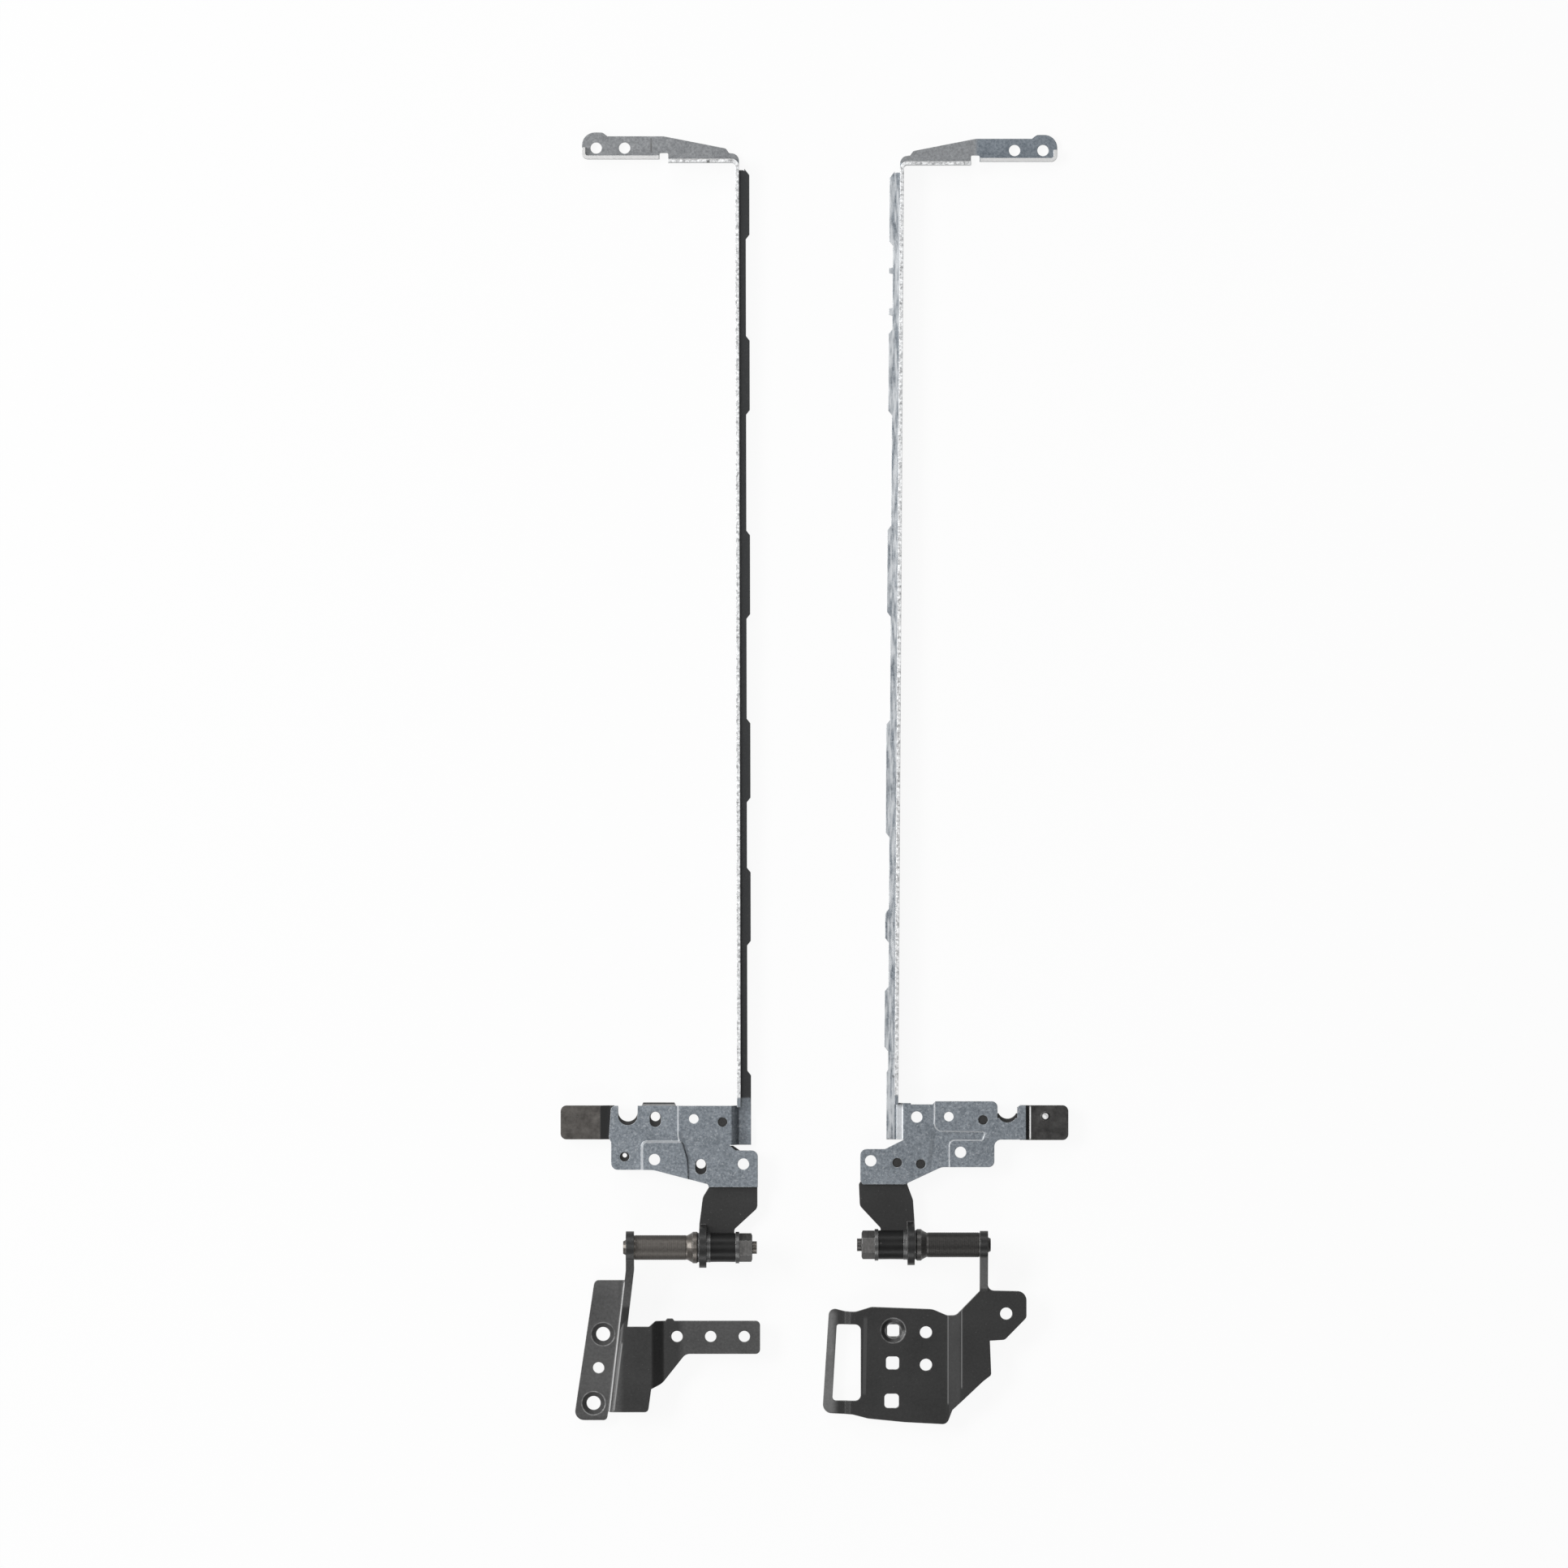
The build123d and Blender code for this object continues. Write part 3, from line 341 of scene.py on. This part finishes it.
for side, level, cool in (("left", 108, 6), ("right", 106, 6)):
    rail_node = f"{side}_display_rail"
    dress(rail_node, galvanised(side, level, cool))
    print(rail_node, "dressed in galvanised steel")


# %% [markdown]
# ## Black coat
# Brackets and leaves are blackened steel: a thin, even, slightly glossy coat that is a little lighter
# where corners were rubbed in the tumbler. The wear follows the real edges, so it uses the same edge
# measure as the rails. The tabs beside the plates were handled most and are mottled, and their joggles
# get painted light. Folds and rims get painted highlights, and a few areas are painted paler, on the left
# base bracket as painted sheen.

# %% Places with a look of their own, in millimetres
# The tab of each leaf, as x from and to, grey level and warmth, and the joggle beside it.
TABS = {"left_lid_leaf": (-56.5, -47.5, 52, 3), "right_lid_leaf": (47.7, 56.5, 32, 1)}
JOGGLES = {"left_lid_leaf": (-47.4, -45.2), "right_lid_leaf": (46.5, 47.5)}

# Painted highlights along folds, each from one place to another, with its width and grey level.
FOLD_HIGHLIGHTS = {
    "right_lid_leaf": [((47.8, -72.7), (47.8, -79.9), 0.26, 215)],
    "right_base_bracket": [
        ((29.6, -118.0), (29.6, -138.6), 0.26, 92),
        ((32.6, -117.0), (32.6, -135.0), 0.26, 92),
        ((11.3, -119.5), (11.0, -136.5), 0.8, 54),
    ],
    "left_base_bracket": [
        ((-42.1, -111.6), (-45.5, -140.6), 0.26, 190),
        ((-42.6, -125.1), (-44.4, -140.0), 0.26, 120),
    ],
}

# Painted highlights on the rims of the countersinks and of the coined ring, and on a pip, as centre,
# radius, width and grey level.
RING_HIGHLIGHTS = {
    "right_lid_leaf": [((51.15, -74.85), 0.0, 1.3, 215)],
    "left_base_bracket": [
        ((-46.85, -123.2), 2.6, 0.24, 104),
        ((-48.95, -138.5), 2.6, 0.24, 120),
    ],
    "right_base_bracket": [
        ((17.45, -122.35), 2.75, 0.24, 96),
        ((17.45, -122.35), 1.7, 0.24, 110),
    ],
}

# Areas painted paler, as x from and to, y from and to, grey level and softness of the edge.
PALE = {
    "left_base_bracket": [
        # Painted sheen on the low plate beside the wall.
        ((-54, -42.9), (-142, -106), 56, 1.5),
        ((-29.5, -8), (-130, -117), 56, 1.5),
        ((-42.8, -38), (-117, -106), 58, 0.8),
    ],
    "right_base_bracket": [
        ((-1, 4.6), (-142, -118), 84, 1.5),
        ((36, 39.5), (-113.0, -106), 62, 0.4),
    ],
    "left_lid_leaf": [((-38.5, -30.3), (-73.5, -72.15), 112, 0.1)],
}
for name, table in (("creases", FOLD_HIGHLIGHTS), ("rings", RING_HIGHLIGHTS), ("pale areas", PALE)):
    print(name, sum(len(marks) for marks in table.values()))


# %% Black coat for the brackets and leaves
def tab_and_joggle(finish, colour, node, x):
    """The leaf's tab is mottled from handling, and its joggle gets painted light, a flat paler grey."""
    low, high, level, warm = TABS[node]
    blotch = (finish.noise(2.4, detail=4.0, rough=0.7) * 2.4).math("ADD", -0.7, clamp=True)
    mottled = finish.mix(blotch, grey(level - 18, warm), grey(level + 22, warm))
    colour = finish.mix(x.between(low, high, 0.3), colour, mottled)
    # Painted light on the joggle's slope: a flat grey, paler than the leaf.
    return finish.mix(x.between(*JOGGLES[node], 0.6) * 0.6, colour, grey(54))


def black_coat(node, level):
    finish = Finish(f"{node}_black_coat")
    x, y, _ = finish.axes()
    grain = finish.noise(0.5)
    cloud = finish.noise(9.0)
    share = (grain + cloud * 1.2).math("ADD", -0.6, clamp=True)
    colour = finish.mix(share, grey(level - 7), grey(level + 8))
    if node in TABS:
        colour = tab_and_joggle(finish, colour, node, x)
    # Paler areas, painted sheen on the left base bracket's low plate.
    for across, along, pale_level, soft in PALE.get(node, ()):
        paler = finish.mix(share, grey(pale_level - 10), grey(pale_level + 14))
        colour = finish.mix(box(x, y, across, along, soft), colour, paler)
    # Painted highlights along the folds.
    for start, end, width, line_level in FOLD_HIGHLIGHTS.get(node, ()):
        colour = finish.mix(crease(x, y, start, end, width) * 0.85, colour, grey(line_level))
    patchy = finish.noise(1.1, detail=2.0).over(0.42, 0.3)
    # Painted highlights on rims and on the pip, in patches.
    for centre, radius, width, rim_level in RING_HIGHLIGHTS.get(node, ()):
        rim = ring(x, y, centre, radius, width) * patchy
        colour = finish.mix(rim * 0.85, colour, grey(rim_level))
    scuff = finish.wear(0.2, 8.0) * finish.noise(1.4, detail=3.0).over(0.4, 0.25)
    colour = finish.mix(scuff * 0.55, colour, grey(128, 1))
    specks = finish.noise(0.45, detail=3.0, rough=0.7).over(0.71, 0.05)
    colour = finish.mix(specks * 0.5, colour, grey(112, 1))
    finish.bump(grain, 0.006, 0.2)
    return finish.set(Base_Color=colour, Metallic=0.15, Roughness=0.40 - scuff * 0.1,
                      Specular_IOR_Level=0.28)


for side, leaf_level, base_level in (("left", 32, 35), ("right", 29, 31)):
    dress(f"{side}_lid_leaf", black_coat(f"{side}_lid_leaf", leaf_level))
    dress(f"{side}_base_bracket", black_coat(f"{side}_base_bracket", base_level))
print("black leaves and brackets dressed")


# %% [markdown]
# ## Pins, washers and nuts
# The pin is turned steel, oiled and dark, so its grain runs round it. The washers and the nut are dark
# too, with rims that were rubbed a little brighter.

# %% Dark turned steel
WASHERS = ("thrust_washer", "key_washer", "friction_washer", "end_washer")


def turned_steel(name, level, warm, rubbed=0.35):
    finish = Finish(name)
    grain = finish.noise(0.5)
    turned = finish.noise(0.25, detail=3.0, stretch=(1, 0.08, 0.08))
    share = (grain + turned).math("ADD", -0.5, clamp=True)
    colour = finish.mix(share, grey(level - 14, warm), grey(level + 16, warm))
    colour = finish.mix(finish.wear(0.14, 8.0) * rubbed, colour, grey(178, warm * 0.4))
    finish.bump(turned, 0.008, 0.1)
    return finish.set(Base_Color=colour, Metallic=0.8, Roughness=0.42)


for side, level, warm in (("left", 78, 4), ("right", 64, 1)):
    dress(f"{side}_pin", turned_steel(f"{side}_pin_steel", level, warm))
    for part in WASHERS:
        dress(f"{side}_{part}", turned_steel(f"{side}_{part}_steel", 76, 0))
    dress(f"{side}_lock_nut", turned_steel(f"{side}_nut_steel", 80, 1, rubbed=0.4))
    dress(f"{side}_disc_springs", turned_steel(f"{side}_spring_steel", 40, 0))
    print(side, "pin,", len(WASHERS), "washers, nut and springs dressed")


# %% [markdown]
# ## Shapes from the lathe
# Two shapes are too fine for the CAD model. The barrel of each pin is ridged all round, and the disc
# springs are packed in dark grease, which looks like one smooth sleeve. Both are turned: a filled circle
# is extruded station by station, and each new ring is scaled to the radius wanted there.

# %% A lathe made of edit-mode operators
SIDES = 72
SMOOTH_UP_TO = 50


def turn(name, centre, stations):
    """A closed solid round the pin's line, from (x, radius) stations in metres."""
    first_x, first_radius = stations[0]
    bpy.ops.object.select_all(action="DESELECT")
    bpy.ops.mesh.primitive_circle_add(
        vertices=SIDES, radius=first_radius, fill_type="NGON",
        location=(first_x, centre.y, centre.z), rotation=(0, math.pi / 2, 0))
    piece = bpy.context.object
    piece.name = name
    bpy.ops.object.transform_apply(location=True, rotation=True, scale=True)
    bpy.ops.object.mode_set(mode="EDIT")
    bpy.ops.mesh.select_all(action="SELECT")
    for (x0, r0), (x1, r1) in zip(stations, stations[1:]):
        bpy.ops.mesh.extrude_region_move(TRANSFORM_OT_translate={"value": (x1 - x0, 0, 0)})
        bpy.ops.transform.resize(value=(1, r1 / r0, r1 / r0), center_override=(x1, centre.y, centre.z))
    bpy.ops.mesh.select_all(action="SELECT")
    bpy.ops.mesh.normals_make_consistent(inside=False)
    bpy.ops.object.mode_set(mode="OBJECT")
    bpy.ops.object.shade_smooth_by_angle(angle=math.radians(SMOOTH_UP_TO))
    print(name, "triangles:", sum(len(p.vertices) - 2 for p in piece.data.polygons))
    return piece


def middle(node):
    """The centre of a CAD piece's box."""
    low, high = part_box(node)
    return (low + high) / 2


# %% [markdown]
# The barrel is ridged like a fine thread whose turns are closed rings. Each ridge needs three stations.
# The ridges stand only a twentieth of a millimetre proud, because taller ones flicker in a picture
# where a pixel is about as wide as a ridge.

# %% Ridged barrels
HEAD = 0.0006
BRACKET_EAR = 0.0018
BARREL_RADIUS = 0.0027
BARREL_LENGTH = 0.0118
END_GAP = 0.0003
RIDGE_PITCH = 0.00043
RIDGE_HEIGHT = 0.00005
VALLEY = 0.1
RIDGE = ((0.0, VALLEY), (0.3, 1.0), (0.6, 1.0))


def barrel_ridges(side, way):
    """Fine ridges round the pin's barrel, between the bracket's ear and the collar."""
    low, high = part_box(f"{side}_pin")
    start = (low.x if way > 0 else high.x) + way * (HEAD + BRACKET_EAR)
    count = int((BARREL_LENGTH - 2 * END_GAP) / RIDGE_PITCH)
    stations = []
    for i in range(count):
        for share, height in RIDGE:
            step = END_GAP + (i + share) * RIDGE_PITCH
            stations.append((start + way * step, BARREL_RADIUS + height * RIDGE_HEIGHT))
    last = start + way * (END_GAP + count * RIDGE_PITCH)
    stations.append((last, BARREL_RADIUS + VALLEY * RIDGE_HEIGHT))
    return turn(f"{side}_barrel_ridges", middle(f"{side}_pin"), sorted(stations))


def ridged_steel(name, level, warm, glint):
    finish = Finish(name)
    grain = finish.noise(0.45)
    flecks = finish.noise(0.7, detail=3.0, stretch=(1, 0.5, 0.5))
    colour = finish.mix(grain, grey(level - 12, warm), grey(level + 12, warm))
    rubbed = finish.wear(0.05, 10.0) * flecks.over(0.45, 0.3)
    colour = finish.mix(rubbed * glint, colour, grey(150, warm * 0.8))
    finish.bump(grain, 0.004)
    return finish.set(Base_Color=colour, Metallic=1.0, Roughness=0.5 + grain * 0.1)


for side, way, level, warm, glint in (("left", 1, 78, 3, 0.2), ("right", -1, 56, 1, 0.15)):
    ridges = barrel_ridges(side, way)
    ridges.data.materials.append(ridged_steel(f"{side}_ridged_steel", level, warm, glint))
    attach(ridges, "bases")


# %% [markdown]
# The grease fills the hollows between the discs and leaves a smooth, slightly waisted sleeve with a few
# specks of dust in it.

# %% Grease over the springs
GREASE = 0.00006
WAIST = 0.4
GREASE_RINGS = 24


def grease_sleeve(side):
    """A smooth sleeve over the disc springs, with a slight waist in its middle."""
    low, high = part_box(f"{side}_disc_springs")
    radius = (high.y - low.y) / 2 + GREASE
    length = high.x - low.x
    stations = []
    for i in range(GREASE_RINGS + 1):
        share = i / GREASE_RINGS
        waist = 0.5 - 0.5 * math.cos(share * math.tau)
        stations.append((low.x + length * share, radius - WAIST * GREASE * waist))
    return turn(f"{side}_grease", middle(f"{side}_disc_springs"), stations)


def grease_finish():
    finish = Finish("grease")
    patchiness = finish.noise(2.2, detail=2.0)
    dust = finish.noise(0.4, detail=2.0).over(0.76, 0.04)
    colour = finish.mix(dust * 0.7, finish.mix(patchiness, grey(12), grey(22)), grey(130))
    finish.bump(patchiness, 0.002)
    return finish.set(Base_Color=colour, Metallic=0.0, Roughness=0.36 + patchiness * 0.1,
                      Specular_IOR_Level=0.16)


grease = grease_finish()
for side in ("left", "right"):
    sleeve = grease_sleeve(side)
    sleeve.data.materials.append(grease)
    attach(sleeve, "bases")


# %% [markdown]
# ## Table
# The photograph is a cut-out on white. The floor shows the camera plain white and still takes a faint
# shadow, and metal sees it as white too. It lies a hair below the sheets and is clear from underneath,
# so that their undersides can be seen.

# %% White table
TABLE_SIZE = 6
TABLE_BELOW = 0.00005
GLOW_SHARE = 0.92


def blend(tree, share, first, second):
    """A mix of two shader nodes."""
    mix = tree.nodes.new("ShaderNodeMixShader")
    feed(tree, mix.inputs[0], share)
    tree.links.new(first.outputs[0], mix.inputs[1])
    tree.links.new(second.outputs[0], mix.inputs[2])
    return mix


def white_floor():
    bpy.ops.object.select_all(action="DESELECT")
    bpy.ops.mesh.primitive_plane_add(size=TABLE_SIZE, location=(0, 0, -TABLE_BELOW))
    floor = bpy.context.object
    floor.name = "table"
    finish = Finish("white_table")
    finish.set(Base_Color=(0.5, 0.5, 0.5, 1), Roughness=0.9)
    tree = finish.tree
    glow = tree.nodes.new("ShaderNodeEmission")
    glow.inputs["Color"].default_value = (1, 1, 1, 1)
    clear = tree.nodes.new("ShaderNodeBsdfTransparent")
    paths = finish.node("LightPath")
    seen = paths["Is Camera Ray"].math("MAXIMUM", paths["Is Transmission Ray"])
    seen = seen.math("MAXIMUM", paths["Is Glossy Ray"])
    backfacing = finish.node("NewGeometry")["Backfacing"]
    surface = blend(tree, seen * GLOW_SHARE, finish.shader, glow)
    surface = blend(tree, backfacing, surface, clear)
    tree.links.new(surface.outputs[0], tree.nodes["Material Output"].inputs[0])
    floor.data.materials.append(finish.material)


white_floor()
print("table", TABLE_SIZE, "m wide")


# %% [markdown]
# ## Light
# One strong, low lamp stands at the upper left, as in the photograph. It makes the slopes that face left
# bright and the others dark. Two weaker ones beyond the ends and one overhead fill the shadows, and
# their reflections lie along the pins.

# %% Soft lamps
# Each lamp's place in metres, width, length and watts.
LAMPS = {
    "window_light": ((-1.15, 0.35, 0.8), 0.9, 0.4, 26),
    "back_light": ((-0.25, 1.2, 0.7), 0.9, 0.4, 9),
    "front_light": ((-0.25, -1.2, 0.7), 0.9, 0.4, 9),
    "overhead": ((-0.15, 0.15, 1.5), 0.5, 0.5, 5),
}
SKY = 0.22


def soft_lamp(name, place, width, length, watts):
    """A rectangular lamp that looks at the origin."""
    data = bpy.data.lights.new(name, "AREA")
    data.shape = "RECTANGLE"
    data.size = width
    data.size_y = length
    data.energy = watts
    lamp = bpy.data.objects.new(name, data)
    lamp.location = place
    lamp.rotation_euler = (-Vector(place)).to_track_quat("-Z", "Y").to_euler()
    bpy.context.scene.collection.objects.link(lamp)


for name, settings in LAMPS.items():
    soft_lamp(name, *settings)

world = bpy.data.worlds.new("studio")
world.use_nodes = True
world.node_tree.nodes["Background"].inputs["Color"].default_value = (1, 1, 1, 1)
world.node_tree.nodes["Background"].inputs["Strength"].default_value = SKY
bpy.context.scene.world = world
bpy.context.scene.view_settings.view_transform = "Standard"
print("lamps:", ", ".join(LAMPS))


# %% [markdown]
# ## Camera
# The camera hangs straight above, with a lens so long that the walls of the rails hardly lean outwards.

# %% Camera and long lens
FIELD = 0.34776
AIM = Vector((-0.00675, -0.00126, 0.0))
DISTANCE = 2.6
SENSOR = 36

camera_data = bpy.data.cameras.new("camera")
camera_data.sensor_width = SENSOR
camera_data.sensor_height = SENSOR
camera_data.lens = SENSOR * DISTANCE / FIELD
camera = bpy.data.objects.new("camera", camera_data)
camera.location = AIM + Vector((0, 0, DISTANCE))
bpy.context.scene.collection.objects.link(camera)
bpy.context.scene.camera = camera
print("lens of", round(camera_data.lens), "mm")
